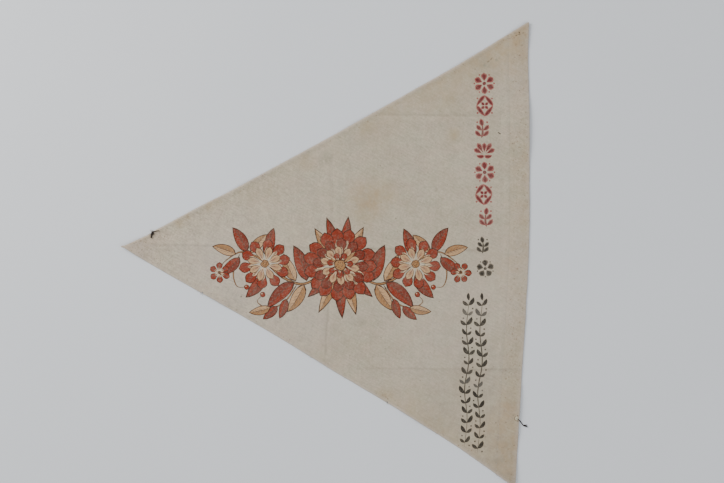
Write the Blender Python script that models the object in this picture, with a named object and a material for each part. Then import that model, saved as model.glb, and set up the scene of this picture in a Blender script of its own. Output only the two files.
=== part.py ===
"""A triangular cotton pennant lying flat on a surface, opened out from its old folds.

Metres, +Z up. The surface it lies on is z = 0. Seen from above, the point of the pennant is at -X,
its hoist is at +X, and +Y is the top of the hoist. The origin is the middle of the outline.

The pennant is one closed sheet. Its two slanted edges have a narrow rolled hem. Along the hoist the
cloth is turned under and stitched down, which leaves a flat sleeve for a staff, open at both ends.
"""

import math

import bmesh
import bpy
from mathutils import Vector
from mathutils.geometry import delaunay_2d_cdt

# The triangle: how far its point lies from the top corner, along X and along Y, and its hoist.
FLY_REACH = 0.6096
POINT_BELOW_TOP = 0.3375
HOIST_HEIGHT = 0.699
HOIST_LEAN = 0.0208
CORNER_ROUND = 0.004
CORNER_SHARPNESS = 0.62

# How far each edge lies inside the straight line between its corners, at a few shares of its length.
UPPER_BOW = ((0, 0), (0.10, 0.0026), (0.18, 0.0034), (0.25, 0.0051), (0.38, 0.0062), (0.55, 0.0067),
             (0.72, 0.0059), (0.82, 0.0051), (0.90, 0.0030), (1, 0))
LOWER_BOW = ((0, 0), (0.10, 0.0045), (0.16, 0.0068), (0.24, 0.0074), (0.31, 0.0081), (0.45, 0.0066),
             (0.62, 0.0064), (0.74, 0.0042), (0.86, 0.0010), (0.96, -0.0007), (1, 0))
HOIST_BOW = ((0, 0), (0.08, -0.0003), (0.18, -0.0040), (0.30, -0.0069), (0.47, -0.0099),
             (0.62, -0.0082), (0.76, -0.0048), (0.88, -0.0023), (1, 0))

# Damage to the slanted edges: the share of the edge, the mouth's width, the depth and the lean.
UPPER_TEARS = ((0.0690, 0.0030, 0.0080, -0.0040),)
LOWER_TEARS = ((0.3330, 0.0030, 0.0022, 0.0010), (0.8000, 0.0034, 0.0025, -0.0008))

# The cloth, its rolled hems and the sleeve along the hoist.
CLOTH = 0.0012
HEM_WIDTH = 0.0060
HEM_THICKNESS = 0.0019
HEM_STEP = 0.0025
SLEEVE_WIDTH = 0.0300
SLEEVE_GAP = 0.0004
SLEEVE_FOLD = 0.0016
SLEEVE_ALLOWANCE = 0.0050
SLEEVE_SLOPE = 0.0060
STITCH_DIP = 0.0005

# Fold creases: where each one starts and ends, its height, and its reach to either side.
# A ridge stands up along its line. A trough touches the surface there, between two soft shoulders.
RIDGES = (
    ((-0.278, 0.0135), (0.231, 0.0060), 0.0021, 0.016),
    ((0.060, -0.1710), (0.262, -0.1740), 0.0018, 0.015),
    ((0.066, -0.0920), (0.065, -0.1500), 0.0011, 0.012),
)
TROUGHS = (
    ((0.077, 0.2095), (0.264, 0.2080), 0.0015, 0.016),
    ((0.0135, 0.1600), (0.0120, 0.0300), 0.0016, 0.016),
    ((0.0030, -0.0300), (0.0015, -0.1660), 0.0014, 0.016),
    ((-0.081, -0.1140), (-0.025, -0.0540), 0.0012, 0.012),
)
CREASE_TAPER = 0.030
RIDGE_SHARPNESS = 1.4

# Places where the cloth doesn't lie close: the middle, the reach and the height of each.
LIFTS = (
    ((-0.306, 0.012), 0.042, 0.0034),
    ((0.312, 0.190), 0.055, 0.0026),
    ((0.299, -0.235), 0.048, 0.0022),
    ((0.306, 0.350), 0.040, 0.0016),
    ((0.284, -0.350), 0.046, 0.0020),
    ((-0.125, 0.107), 0.034, 0.0014),
    ((0.045, 0.200), 0.038, 0.0016),
    ((0.205, 0.290), 0.032, 0.0012),
    ((-0.170, -0.066), 0.036, 0.0015),
    ((-0.020, -0.160), 0.034, 0.0012),
    ((0.130, -0.252), 0.042, 0.0018),
)

# How far apart the mesh's points lie, along edges and creases and on the open cloth, and how much
# of that spacing is left clear beside a tear or a row.
EDGE_SPACING = 0.0100
OPEN_SPACING = 0.0165
CLEAR_SHARE = 0.6
ROW_OVERRUN = 0.030
SAME_POINT = 0.00001
ROW_SEARCH_STEPS = 400

CLOTH_COLOUR = (0.43, 0.385, 0.335, 1)
CLOTH_ROUGHNESS = 0.92
SHARP_ANGLE = math.radians(40)


def eased(stations, share):
    """The value at a share of the way, on a smooth curve through the stations."""
    stations = list(stations)
    last = len(stations) - 1
    slopes = []
    for number in range(last + 1):
        before = stations[max(number - 1, 0)]
        after = stations[min(number + 1, last)]
        slopes.append((after[1] - before[1]) / (after[0] - before[0]))
    number = 0
    while number < last - 1 and share > stations[number + 1][0]:
        number += 1
    (start, first), (end, second) = stations[number], stations[number + 1]
    step = end - start
    way = min(max((share - start) / step, 0), 1)
    rise = way * way * (3 - 2 * way)
    leave = way * (1 - way) ** 2 * step * slopes[number]
    arrive = way * way * (way - 1) * step * slopes[number + 1]
    return first + (second - first) * rise + leave + arrive


class Edge:
    """One edge of the triangle. Going along it, the cloth lies on the right-hand side."""

    def __init__(self, start, end, bow):
        self.start = start
        self.bow = bow
        self.length = (end - start).length
        self.along = (end - start).normalized()
        self.inwards = Vector((self.along.y, -self.along.x))

    def at(self, share, depth=0.0):
        """The point at a share of the edge, this deep inside it."""
        inside = eased(self.bow, min(max(share, 0), 1)) + depth
        return self.start + self.along * share * self.length + self.inwards * inside

    def place(self, point):
        """The share of the edge beside which a point lies, and how deep inside it the point is."""
        across = point - self.start
        share = across.dot(self.along) / self.length
        return share, across.dot(self.inwards) - eased(self.bow, min(max(share, 0), 1))


def triangle():
    """The upper edge, the hoist and the lower edge, round the middle of the outline."""
    top = Vector((0, 0))
    point = top - Vector((FLY_REACH, POINT_BELOW_TOP))
    bottom = top - Vector((HOIST_LEAN, HOIST_HEIGHT))
    hoist = Edge(top, bottom, HOIST_BOW)
    widest = max(hoist.at(share).x for share, _ in HOIST_BOW)
    middle = Vector(((point.x + widest) / 2, (top.y + bottom.y) / 2))
    point -= middle
    top -= middle
    bottom -= middle
    return Edge(point, top, UPPER_BOW), Edge(top, bottom, HOIST_BOW), Edge(bottom, point, LOWER_BOW)


UPPER, HOIST, LOWER = triangle()


def edge_depth(point):
    """How deep inside the nearest edge a point lies."""
    return min(edge.place(point)[1] for edge in (UPPER, HOIST, LOWER))


def torn_edge(edge, tears):
    """The points along an edge, with a notch for each tear, from one rounded corner to the next."""
    start = CORNER_ROUND / edge.length
    count = round(edge.length / EDGE_SPACING)
    shares = [start + (1 - 2 * start) * step / count for step in range(count + 1)]
    points = []
    for share in shares:
        if all(abs(share - tear[0]) * edge.length > CLEAR_SHARE * EDGE_SPACING for tear in tears):
            points.append((share, edge.at(share)))
    for share, mouth, depth, lean in tears:
        half = mouth / 2 / edge.length
        points.append((share - half, edge.at(share - half)))
        points.append((share, edge.at(share + lean / edge.length, depth)))
        points.append((share + half, edge.at(share + half)))
    points.sort(key=lambda item: item[0])
    return [point for _, point in points]


def rounded_corner(before, corner, after):
    """The middle point of the round between two edges, most of the way out to the sharp corner."""
    chord = (before + after) / 2
    return chord + (corner - chord) * CORNER_SHARPNESS


def outline():
    """The whole outline, going from the point to the top corner, the bottom corner and back."""
    upper = torn_edge(UPPER, UPPER_TEARS)
    hoist = torn_edge(HOIST, ())
    lower = torn_edge(LOWER, LOWER_TEARS)
    points = upper + [rounded_corner(upper[-1], HOIST.start, hoist[0])]
    points += hoist + [rounded_corner(hoist[-1], LOWER.start, lower[0])]
    points += lower + [rounded_corner(lower[-1], UPPER.start, upper[0])]
    return points


def inside(point, loop):
    """Whether a point lies inside a closed loop."""
    found = False
    for first, second in zip(loop, loop[1:] + loop[:1]):
        if (first.y > point.y) != (second.y > point.y):
            across = first.x + (point.y - first.y) / (second.y - first.y) * (second.x - first.x)
            found ^= point.x < across
    return found


def inner_share(edge, depth, other_first, other_last):
    """The shares of an edge between which a row this deep stays inside the other two edges."""
    clear = []
    for step in range(ROW_SEARCH_STEPS + 1):
        share = step / ROW_SEARCH_STEPS
        point = edge.at(share, depth)
        if min(other_first.place(point)[1], other_last.place(point)[1]) > HEM_WIDTH:
            clear.append(share)
    return clear[0], clear[-1]


def edge_rows():
    """Rows of points beside the edges: where the hems end, and the lines of the sleeve."""
    rows = []
    for edge, before, after in ((UPPER, LOWER, HOIST), (LOWER, HOIST, UPPER)):
        for depth in (HEM_WIDTH, HEM_WIDTH + HEM_STEP):
            first, last = inner_share(edge, depth, before, after)
            count = round((last - first) * edge.length / EDGE_SPACING)
            rows.append([edge.at(first + (last - first) * step / count, depth)
                         for step in range(count + 1)])
    return rows


def sleeve_rows():
    """Rows along the hoist. The first and the last bound the slit, so they cross the outline."""
    over = ROW_OVERRUN / HOIST.length
    count = round(HOIST.length * (1 + 2 * over) / EDGE_SPACING)
    shares = [-over + (1 + 2 * over) * step / count for step in range(count + 1)]
    depths = (SLEEVE_FOLD, SLEEVE_WIDTH / 4, SLEEVE_WIDTH * 3 / 4, SLEEVE_WIDTH - STITCH_DIP,
              SLEEVE_WIDTH + SLEEVE_ALLOWANCE, SLEEVE_WIDTH + SLEEVE_ALLOWANCE + SLEEVE_SLOPE)
    return [[HOIST.at(share, depth) for share in shares] for depth in depths]


def crease_rows():
    """Five rows along each crease: its line, its shoulders and its feet."""
    rows = []
    for start, end, _, reach in RIDGES + TROUGHS:
        start, end = Vector(start), Vector(end)
        along = (end - start).normalized()
        across = Vector((-along.y, along.x))
        count = round((end - start).length / EDGE_SPACING)
        for side in (-1, -0.5, 0, 0.5, 1):
            row = [start.lerp(end, step / count) + across * side * reach for step in range(count + 1)]
            rows.append([point for point in row if edge_depth(point) > HEM_WIDTH + 2 * HEM_STEP])
    return rows


def open_points(loop, taken):
    """Points of a triangular lattice on the cloth between the rows."""
    points = []
    rise = OPEN_SPACING * math.sqrt(3) / 2
    low = min(point.y for point in loop)
    left = min(point.x for point in loop)
    for line in range(round(HOIST_HEIGHT / rise) + 1):
        for step in range(round(FLY_REACH / OPEN_SPACING) + 2):
            point = Vector((left + (step + line % 2 / 2) * OPEN_SPACING, low + line * rise))
            near = min((point - other).length for other in taken)
            if near > OPEN_SPACING * CLEAR_SHARE and inside(point, loop):
                points.append(point)
    return points


def planform():
    """The cloth seen from above, as points and triangles."""
    loop = outline()
    points = list(loop)
    lines = [(number, (number + 1) % len(loop)) for number in range(len(loop))]
    for row in edge_rows() + sleeve_rows() + crease_rows():
        first = len(points)
        points += row
        lines += [(first + step, first + step + 1) for step in range(len(row) - 1)]
    points += open_points(loop, points)
    points, _, faces, _, _, _ = delaunay_2d_cdt(points, lines, [], 0, SAME_POINT)
    faces = [face for face in faces if inside(middle_of(face, points), loop)]
    return points, faces


def middle_of(face, points):
    return sum((points[corner] for corner in face), Vector((0, 0))) / len(face)


def crease_place(point, start, end):
    """How far across a crease a point lies, and how much of its height the crease has beside it."""
    start, end = Vector(start), Vector(end)
    along = (end - start).normalized()
    way = (point - start).dot(along)
    across = abs((point - start).cross(along))
    inner = min(way, (end - start).length - way)
    taper = min(max((inner + CREASE_TAPER / 3) / CREASE_TAPER, 0), 1)
    return across, taper


def lift(point):
    """The height of the cloth's underside over the surface it lies on."""
    height = 0.0
    for start, end, crest, reach in RIDGES:
        across, taper = crease_place(point, start, end)
        height = max(height, crest * taper * max(1 - across / reach, 0) ** RIDGE_SHARPNESS)
    for start, end, crest, reach in TROUGHS:
        across, taper = crease_place(point, start, end)
        height = max(height, crest * taper * max(1 - (2 * across / reach - 1) ** 2, 0))
    for middle, reach, crest in LIFTS:
        height = max(height, crest * max(1 - ((point - Vector(middle)).length / reach) ** 2, 0))
    return height


def thickness(point):
    """How thick the cloth stands over its underside: one layer, a hem, or the sleeve's layers."""
    depth = HOIST.place(point)[1]
    double = 2 * CLOTH + SLEEVE_GAP
    if depth < SLEEVE_FOLD / 2:
        return double - STITCH_DIP
    if depth < SLEEVE_WIDTH - STITCH_DIP * 2:
        return double
    if depth < SLEEVE_WIDTH + SLEEVE_ALLOWANCE / 2:
        return double - STITCH_DIP - SLEEVE_GAP
    if depth < SLEEVE_WIDTH + SLEEVE_ALLOWANCE + SLEEVE_SLOPE / 2:
        return 2 * CLOTH - STITCH_DIP
    hem = min(UPPER.place(point)[1], LOWER.place(point)[1])
    return HEM_THICKNESS if hem < HEM_WIDTH + HEM_STEP / 2 else CLOTH


def in_sleeve(face, points):
    """Whether a triangle lies over the slit between the sleeve's two layers."""
    depth = HOIST.place(middle_of(face, points))[1]
    return SLEEVE_FOLD < depth < SLEEVE_WIDTH - STITCH_DIP


def sheet_mesh():
    """The closed sheet: its top, its underside, the slit of the sleeve, and the rim."""
    points, faces = planform()
    slit = [face for face in faces if in_sleeve(face, points)]
    slit_points = {corner for face in slit for corner in face}
    solid_points = {corner for face in faces if face not in slit for corner in face}
    closed = slit_points & solid_points
    shape = bmesh.new()
    vertices = {}

    def vertex(corner, level):
        """The vertex of a planform point at one level, with the slit's sides shut along its edges."""
        if corner in closed and level in ("ceiling", "floor"):
            level = "shut"
        if (corner, level) not in vertices:
            point = points[corner]
            under = lift(point)
            height = {
                "top": under + thickness(point),
                "ceiling": under + CLOTH + SLEEVE_GAP,
                "shut": under + CLOTH + SLEEVE_GAP / 2,
                "floor": under + CLOTH,
                "under": under,
            }[level]
            vertices[corner, level] = shape.verts.new((point.x, point.y, height))
        return vertices[corner, level]

    def cover(face, level, upwards):
        corners = [vertex(corner, level) for corner in face]
        shape.faces.new(corners if upwards else corners[::-1])

    def wall(first, second, upper, lower):
        """A piece of the rim. A corner where the slit is shut has a point between its two levels."""
        ring = [vertex(first, upper)]
        if first in closed and (upper, lower) == ("top", "under"):
            ring.append(vertex(first, "shut"))
        ring += [vertex(first, lower), vertex(second, lower)]
        if second in closed and (upper, lower) == ("top", "under"):
            ring.append(vertex(second, "shut"))
        ring.append(vertex(second, upper))
        shape.faces.new(ring)

    for face in faces:
        cover(face, "top", True)
        cover(face, "under", False)
    for face in slit:
        cover(face, "ceiling", False)
        cover(face, "floor", True)
    for first, second, over_slit in rim_edges(faces, slit):
        if over_slit:
            wall(first, second, "top", "ceiling")
            wall(first, second, "floor", "under")
        else:
            wall(first, second, "top", "under")
    bmesh.ops.triangulate(shape, faces=[face for face in shape.faces if len(face.verts) > 3])
    bmesh.ops.recalc_face_normals(shape, faces=shape.faces)
    return shape


def rim_edges(faces, slit):
    """Each edge that has cloth on one side only, with whether the slit lies beside it."""
    sides = {}
    for face in faces:
        for first, second in zip(face, face[1:] + face[:1]):
            sides[first, second] = face in slit
    return [(first, second, over_slit) for (first, second), over_slit in sides.items()
            if (second, first) not in sides]


def cloth_material():
    material = bpy.data.materials.new("unbleached_cotton")
    material.use_nodes = True
    shader = material.node_tree.nodes["Principled BSDF"]
    shader.inputs["Base Color"].default_value = CLOTH_COLOUR
    shader.inputs["Roughness"].default_value = CLOTH_ROUGHNESS
    shader.inputs["Metallic"].default_value = 0
    material.diffuse_color = CLOTH_COLOUR
    return material


def centred(shape):
    """Moves the sheet so that the middle of its outline, with its rounded corners, is the origin."""
    middle = [0.0, 0.0, 0.0]
    for axis in (0, 1):
        places = [vertex.co[axis] for vertex in shape.verts]
        middle[axis] = -(min(places) + max(places)) / 2
    bmesh.ops.translate(shape, verts=shape.verts, vec=middle)
    return shape


def build():
    for old in list(bpy.data.objects):
        bpy.data.objects.remove(old)
    mesh = bpy.data.meshes.new("flag_cloth")
    shape = centred(sheet_mesh())
    shape.to_mesh(mesh)
    shape.free()
    mesh.materials.append(cloth_material())
    mesh.shade_smooth()
    mesh.set_sharp_from_angle(angle=SHARP_ANGLE)
    cloth = bpy.data.objects.new("flag_cloth", mesh)
    bpy.context.scene.collection.objects.link(cloth)


build()
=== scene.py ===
import math
import random

import bmesh
import bpy
from mathutils import Matrix, Vector, kdtree, noise
from mathutils.geometry import delaunay_2d_cdt


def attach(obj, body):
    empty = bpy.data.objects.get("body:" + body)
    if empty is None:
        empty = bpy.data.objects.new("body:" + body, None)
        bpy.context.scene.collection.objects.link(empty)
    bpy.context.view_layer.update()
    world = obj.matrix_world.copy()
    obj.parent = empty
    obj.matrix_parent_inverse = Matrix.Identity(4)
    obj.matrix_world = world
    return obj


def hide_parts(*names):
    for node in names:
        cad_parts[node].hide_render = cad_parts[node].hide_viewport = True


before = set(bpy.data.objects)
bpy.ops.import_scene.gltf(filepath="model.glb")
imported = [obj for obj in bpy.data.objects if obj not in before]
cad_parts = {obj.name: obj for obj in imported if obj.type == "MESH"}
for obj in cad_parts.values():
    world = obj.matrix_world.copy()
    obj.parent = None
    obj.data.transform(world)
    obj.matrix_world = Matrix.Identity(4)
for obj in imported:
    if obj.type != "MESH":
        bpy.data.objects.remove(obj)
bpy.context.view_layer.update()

# An old cotton pennant, seen from straight above. Metres, +Z up, the surface it lies on at z = 0.
# "Plan" points are seen from above, round the middle of the sharp-cornered triangle.

# The triangle and its bowed edges, as in the solid, with a small step beside the tear.
FLY_REACH = 0.6096
POINT_BELOW_TOP = 0.3375
HOIST_HEIGHT = 0.699
HOIST_LEAN = 0.0208
CORNER_ROUND = 0.004
CORNER_SHARPNESS = 0.62
UPPER_BOW = ((0, 0), (0.03, 0.0016), (0.063, 0.0031), (0.078, 0.0021), (0.1, 0.0026), (0.18, 0.0034),
             (0.25, 0.0051), (0.38, 0.0062), (0.55, 0.0067), (0.72, 0.0059), (0.82, 0.0051),
             (0.9, 0.003), (1, 0))
LOWER_BOW = ((0, 0), (0.1, 0.0045), (0.16, 0.0068), (0.24, 0.0074), (0.31, 0.0081), (0.45, 0.0066),
             (0.62, 0.0064), (0.74, 0.0042), (0.86, 0.001), (0.96, -0.0007), (1, 0))
HOIST_BOW = ((0, 0), (0.08, -0.0003), (0.18, -0.004), (0.3, -0.0069), (0.47, -0.0099),
             (0.62, -0.0082), (0.76, -0.0048), (0.88, -0.0023), (1, 0))
BOW_STEPS = 400
EDGE_WAVER = 0.00045
WAVERS_ALONG = 26

# The sheet's point is drawn out to these places, measured from the sharp corner.
DRAWN_POINT = ((0.0006, -0.0014), (-0.0017, -0.0009), (-0.002, 0.0007), (0.0004, 0.0014))

# Tears and nicks: the share of the edge, the mouth's width, the depth and the lean.
UPPER_TEARS = ((0.069, 0.003, 0.008, -0.004),)
LOWER_TEARS = ((0.333, 0.003, 0.0022, 0.001), (0.8, 0.0034, 0.0025, -0.0008))
TEAR_RAGGED = 0.0004
TEAR_STEPS = (-1, -0.72, -0.35, 0, 0.35, 0.72, 1)

# The cloth and what is turned and sewn on it.
LAYER = 0.0006
HEM_HEIGHT = 0.0014
HEM_STITCHES = 0.0046
SLEEVE_WIDTH = 0.03
SLEEVE_GAP = 0.0004
SLEEVE_PUFF = 0.0005
SLIT_OUTER = 0.0022
SLIT_INNER = 0.0286
SLEEVE_ALLOWANCE = 0.005
STITCH_PITCH = 0.0042
STITCH_LENGTH = 0.0028
STITCH_WIDTH = 0.0005
STITCH_FLATNESS = 0.8
STITCH_SINK = 0.15
STITCH_SHIFT = 0.1
STITCH_STRAY = 0.0002
STITCH_TURN = 0.12
MISSING_STITCHES = 0.03
FIBRE = 0.00011
STUB_THREAD = 0.00052
TAIL_THREAD = 0.00036
TWIST_RELIEF = 0.0001
WEAVE_RELIEF = 0.00018
PUCKER_HEIGHT = 0.00022
PUCKER_LENGTH = 0.0085
HEM_ON_SLEEVE = 0.4
RIM_CURL = 0.0003

# Old folds: start, end, height, reach to either side, and how dark the painted shade along the line itself
# is.
RIDGES = (
    ((-0.271, 0.0149), (0.231, 0.0068), 0.0014, 0.016, 0.46),
    ((0.054, -0.1697), (0.292, -0.1727), 0.0013, 0.015, 0.34),
    ((0.066, -0.092), (0.065, -0.15), 0.0008, 0.012, 0.1),
)
TROUGHS = (
    ((0.077, 0.2095), (0.262, 0.2076), 0.0012, 0.016, 0.38),
    ((0.011, 0.16), (0.0095, 0.03), 0.0006, 0.016, 0.1),
    ((0.0066, -0.03), (-0.0024, -0.166), 0.0008, 0.016, 0.52),
    ((-0.081, -0.114), (-0.025, -0.054), 0.0005, 0.012, 0.1),
    ((-0.2715, 0.013), (-0.2725, -0.006), 0.0005, 0.008, 0.26),
)
CREASE_TAPER = 0.03
CREASE_LINE = 0.0025
CREASE_WANDER = 0.0013
RIDGE_SHARPNESS = 1.6
CREASE_ROWS = (0, CREASE_LINE / 2, CREASE_LINE, 0.003, 0.007, 0.011)

# Places where the cloth doesn't lie close: the middle, the reach and the height.
LIFTS = (
    ((-0.306, 0.012), 0.042, 0.0034),
    ((0.312, 0.19), 0.055, 0.0026),
    ((0.299, -0.235), 0.048, 0.0022),
    ((0.306, 0.35), 0.04, 0.0016),
    ((0.284, -0.35), 0.046, 0.002),
    ((-0.125, 0.107), 0.034, 0.0014),
    ((0.045, 0.2), 0.038, 0.0016),
    ((0.205, 0.29), 0.032, 0.0012),
    ((-0.17, -0.066), 0.036, 0.0015),
    ((-0.02, -0.16), 0.034, 0.0012),
    ((0.13, -0.252), 0.042, 0.0018),
)
SWELL_HEIGHT = 0.0003
SWELL_LENGTH = 0.085
DRAG_HEIGHT = 0.00022
DRAG_LENGTH = 0.06
DRAG_WIDTH = 0.0085

# The weave runs along the lower edge, as if that side lay on the selvedge.
THREAD_TURN = math.radians(-28)
THREAD_PITCH = 0.0009

# How far apart the points of the mesh lie, and how deep inside the edges its rows run.
HEM_SPACING = 0.0039
OUTLINE_SPACING = 0.004
OPEN_SPACING = 0.0056
OPEN_UNEVEN = 0.15
CLEAR_SHARE = 0.55
RIM_CLEARANCE = 0.001
ROW_CLEARANCE = 0.0012
ROW_OVERRUN = 0.03
HEM_ROWS = (0.0004, 0.0009, 0.003, HEM_STITCHES, 0.0055, 0.0072, 0.01)
HOIST_ROWS = (0.0004, 0.001)
SLEEVE_ROWS = (SLIT_OUTER, 0.008, 0.015, 0.022, 0.0262, SLIT_INNER, SLEEVE_WIDTH, 0.0308, 0.0316,
               0.034, 0.0362, 0.0384, 0.0405, 0.043)
CREASE_MARGIN = 0.008
SAME_POINT = 1e-7

# Colours, as a painter would mix them, in linear light.
COTTON = (0.464, 0.404, 0.308)
AGED = (0.4, 0.28, 0.15)
# A painted highlight along the rim; also the colour of paler cloth and of painted light on the open cloth.
PALE_CLOTH_AND_HIGHLIGHT = (0.54, 0.462, 0.408)
RUST = (0.15, 0.06, 0.025)
MOULD = (0.27, 0.255, 0.185)
# Painted shade along the folds and towards the lower end of the hoist; also the colour of grime and of the
# stitching's dirt.
CREASE_SHADE_AND_DIRT = (0.26, 0.22, 0.17)
DIRT = (0.07, 0.05, 0.024)
# A painted highlight, on the hoist's thread loop and on the cloth under it.
LOOP_HIGHLIGHT = (0.64, 0.58, 0.43)
VERMILION = (0.226, 0.031, 0.014)
BRICK = (0.165, 0.024, 0.012)
DEEP_RED = (0.08, 0.014, 0.009)
UMBER = (0.048, 0.017, 0.01)
CREAM = (0.56, 0.4, 0.24)
SAND = (0.48, 0.29, 0.15)
OCHRE = (0.33, 0.165, 0.065)
CRIMSON = (0.26, 0.015, 0.025)
DARK_CRIMSON = (0.128, 0.008, 0.014)
INK = (0.013, 0.011, 0.008)
PALE_INK = (0.075, 0.068, 0.058)
SEWING_COTTON = (0.46, 0.41, 0.33)
OLD_BLACK = (0.012, 0.007, 0.005)
OLD_DUST = (0.075, 0.055, 0.04)
FLOOR_GREY = (0.72, 0.74, 0.77)

# Slight casts that multiply the cotton's colour, from place to place.
PINK_CAST = (1.014, 0.986, 0.99)
GREEN_CAST = (0.986, 1.012, 0.99)

# The cotton is more uneven towards the point and on the sleeve: from x, to x, and the factors there.
UNEVEN_ACROSS = ((-0.28, 0.0, 1.9, 1.02), (0.262, 0.282, 1.0, 1.4))

# How shiny every surface is.
SHINE = 0.2

# The photograph's frame: metres a pixel, its size, and where its middle lies on the cloth.
PIXEL = 0.0015
PHOTO_WIDTH = 724
PHOTO_MIDDLE = (0.05305, 0.01955)
LENS = 85
SENSOR = 36


def add_camera():
    """Straight above the middle of the photograph, high enough to take in its width."""
    height = PHOTO_WIDTH * PIXEL * LENS / SENSOR
    bpy.ops.object.camera_add(location=(PHOTO_MIDDLE[0], PHOTO_MIDDLE[1], height), rotation=(0, 0, 0))
    camera = bpy.context.object
    camera.data.lens = LENS
    camera.data.sensor_width = SENSOR
    bpy.context.scene.camera = camera


def eased(stations, share):
    """The value at a share of the way, on a smooth curve through the stations."""
    last = len(stations) - 1
    slopes = []
    for number in range(last + 1):
        before = stations[max(number - 1, 0)]
        after = stations[min(number + 1, last)]
        slopes.append((after[1] - before[1]) / (after[0] - before[0]))
    number = 0
    while number < last - 1 and share > stations[number + 1][0]:
        number += 1
    (start, first), (end, second) = stations[number], stations[number + 1]
    step = end - start
    way = min(max((share - start) / step, 0), 1)
    rise = way * way * (3 - 2 * way)
    leave = way * (1 - way) ** 2 * step * slopes[number]
    arrive = way * way * (way - 1) * step * slopes[number + 1]
    return first + (second - first) * rise + leave + arrive


def sideways(heading):
    """The direction to the left of a heading."""
    return Vector((-heading.y, heading.x))


def straight(start, end, count):
    """Points evenly along a straight line."""
    return [Vector(start).lerp(Vector(end), step / count) for step in range(count + 1)]


class Edge:
    """One edge of the triangle. Going along it, the cloth lies on the right-hand side."""

    def __init__(self, start, end, bow):
        self.start = start
        self.length = (end - start).length
        self.along = (end - start).normalized()
        self.inwards = -sideways(self.along)
        self.bows = []
        for step in range(BOW_STEPS + 1):
            share = step / BOW_STEPS
            waver = noise.noise((share * WAVERS_ALONG, self.along.x * 9, self.along.y * 9))
            self.bows.append(eased(bow, share) + EDGE_WAVER * waver * math.sin(math.pi * share) ** 0.3)

    def bow_at(self, share):
        place = min(max(share, 0), 1) * BOW_STEPS
        step = min(int(place), BOW_STEPS - 1)
        return self.bows[step] + (self.bows[step + 1] - self.bows[step]) * (place - step)

    def at(self, share, depth=0.0):
        """The point at a share of the edge, this deep inside it."""
        return self.start + self.along * share * self.length + self.inwards * (self.bow_at(share) + depth)

    def place(self, point):
        """The share of the edge beside which a point lies, and how deep inside it the point is."""
        across = point - self.start
        share = across.dot(self.along) / self.length
        return share, across.dot(self.inwards) - self.bow_at(share)


def triangle():
    """The upper edge, the hoist and the lower edge, round the middle of the outline."""
    top = Vector((0, 0))
    point = top - Vector((FLY_REACH, POINT_BELOW_TOP))
    bottom = top - Vector((HOIST_LEAN, HOIST_HEIGHT))
    hoist = Edge(top, bottom, HOIST_BOW)
    widest = max(hoist.at(share).x for share, _ in HOIST_BOW)
    middle = Vector(((point.x + widest) / 2, (top.y + bottom.y) / 2))
    point -= middle
    top -= middle
    bottom -= middle
    return Edge(point, top, UPPER_BOW), Edge(top, bottom, HOIST_BOW), Edge(bottom, point, LOWER_BOW)


UPPER, HOIST, LOWER = triangle()


def edge_depth(point):
    """How deep inside the nearest edge a point lies."""
    return min(edge.place(point)[1] for edge in (UPPER, HOIST, LOWER))


def torn_edge(edge, tears, draw):
    """The points along an edge, with a ragged notch for each tear, between two rounded corners."""
    start = CORNER_ROUND / edge.length
    count = round(edge.length / OUTLINE_SPACING)
    points = []
    for step in range(count + 1):
        share = start + (1 - 2 * start) * step / count
        if all(abs(share - tear[0]) * edge.length > CLEAR_SHARE * OUTLINE_SPACING for tear in tears):
            points.append((share, edge.at(share)))
    for share, mouth, depth, lean in tears:
        half = mouth / 2 / edge.length
        for way in TEAR_STEPS:
            deep = depth * (1 - abs(way)) + draw.uniform(0, TEAR_RAGGED) * (abs(way) < 1)
            lies = share + way * half
            points.append((lies, edge.at(lies + lean / edge.length * (1 - abs(way)), deep)))
    points.sort(key=lambda item: item[0])
    return [point for _, point in points]


def rounded_corner(before, corner, after):
    """The middle point of the round between two edges, most of the way out to the sharp corner."""
    chord = (before + after) / 2
    return chord + (corner - chord) * CORNER_SHARPNESS


def outline():
    """The outline from the point by the top and bottom corners and back, and the solid's middle."""
    draw = random.Random(3)
    upper = torn_edge(UPPER, UPPER_TEARS, draw)
    hoist = torn_edge(HOIST, (), draw)
    lower = torn_edge(LOWER, LOWER_TEARS, draw)
    points = upper + [rounded_corner(upper[-1], HOIST.start, hoist[0])]
    points += hoist + [rounded_corner(hoist[-1], LOWER.start, lower[0])]
    points += lower
    across = [place.x for place in points + [rounded_corner(lower[-1], UPPER.start, upper[0])]]
    along = [place.y for place in points]
    middle = Vector(((min(across) + max(across)) / 2, (min(along) + max(along)) / 2, 0))
    return points + [UPPER.start + Vector(place) for place in DRAWN_POINT], middle


OUTLINE, MIDDLE = outline()


def crease_place(point, start, end):
    """How far across a crease a point lies, and how much of its height the crease has beside it."""
    start, end = Vector(start), Vector(end)
    along = (end - start).normalized()
    way = (point - start).dot(along)
    wander = CREASE_WANDER * noise.noise((way * 40, start.x * 50, start.y * 50))
    across = abs((point - start).cross(along) + wander)
    inner = min(way, (end - start).length - way)
    taper = min(max((inner + CREASE_TAPER / 3) / CREASE_TAPER, 0), 1)
    return across, taper * taper * (3 - 2 * taper)


def lift(point):
    """The height of the cloth's underside, from its creases and from where it stands off."""
    height = 0.0
    for start, end, crest, reach, _ in RIDGES:
        across, taper = crease_place(point, start, end)
        if across < reach:
            height = max(height, crest * taper * (1 - across / reach) ** RIDGE_SHARPNESS)
    for start, end, crest, reach, _ in TROUGHS:
        across, taper = crease_place(point, start, end)
        if across < reach:
            height = max(height, crest * taper * (1 - (2 * across / reach - 1) ** 2))
    for middle, reach, crest in LIFTS:
        away = (point - Vector(middle)).length / reach
        if away < 1:
            height = max(height, crest * (1 - away * away))
    return height + rumple(point)


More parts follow.
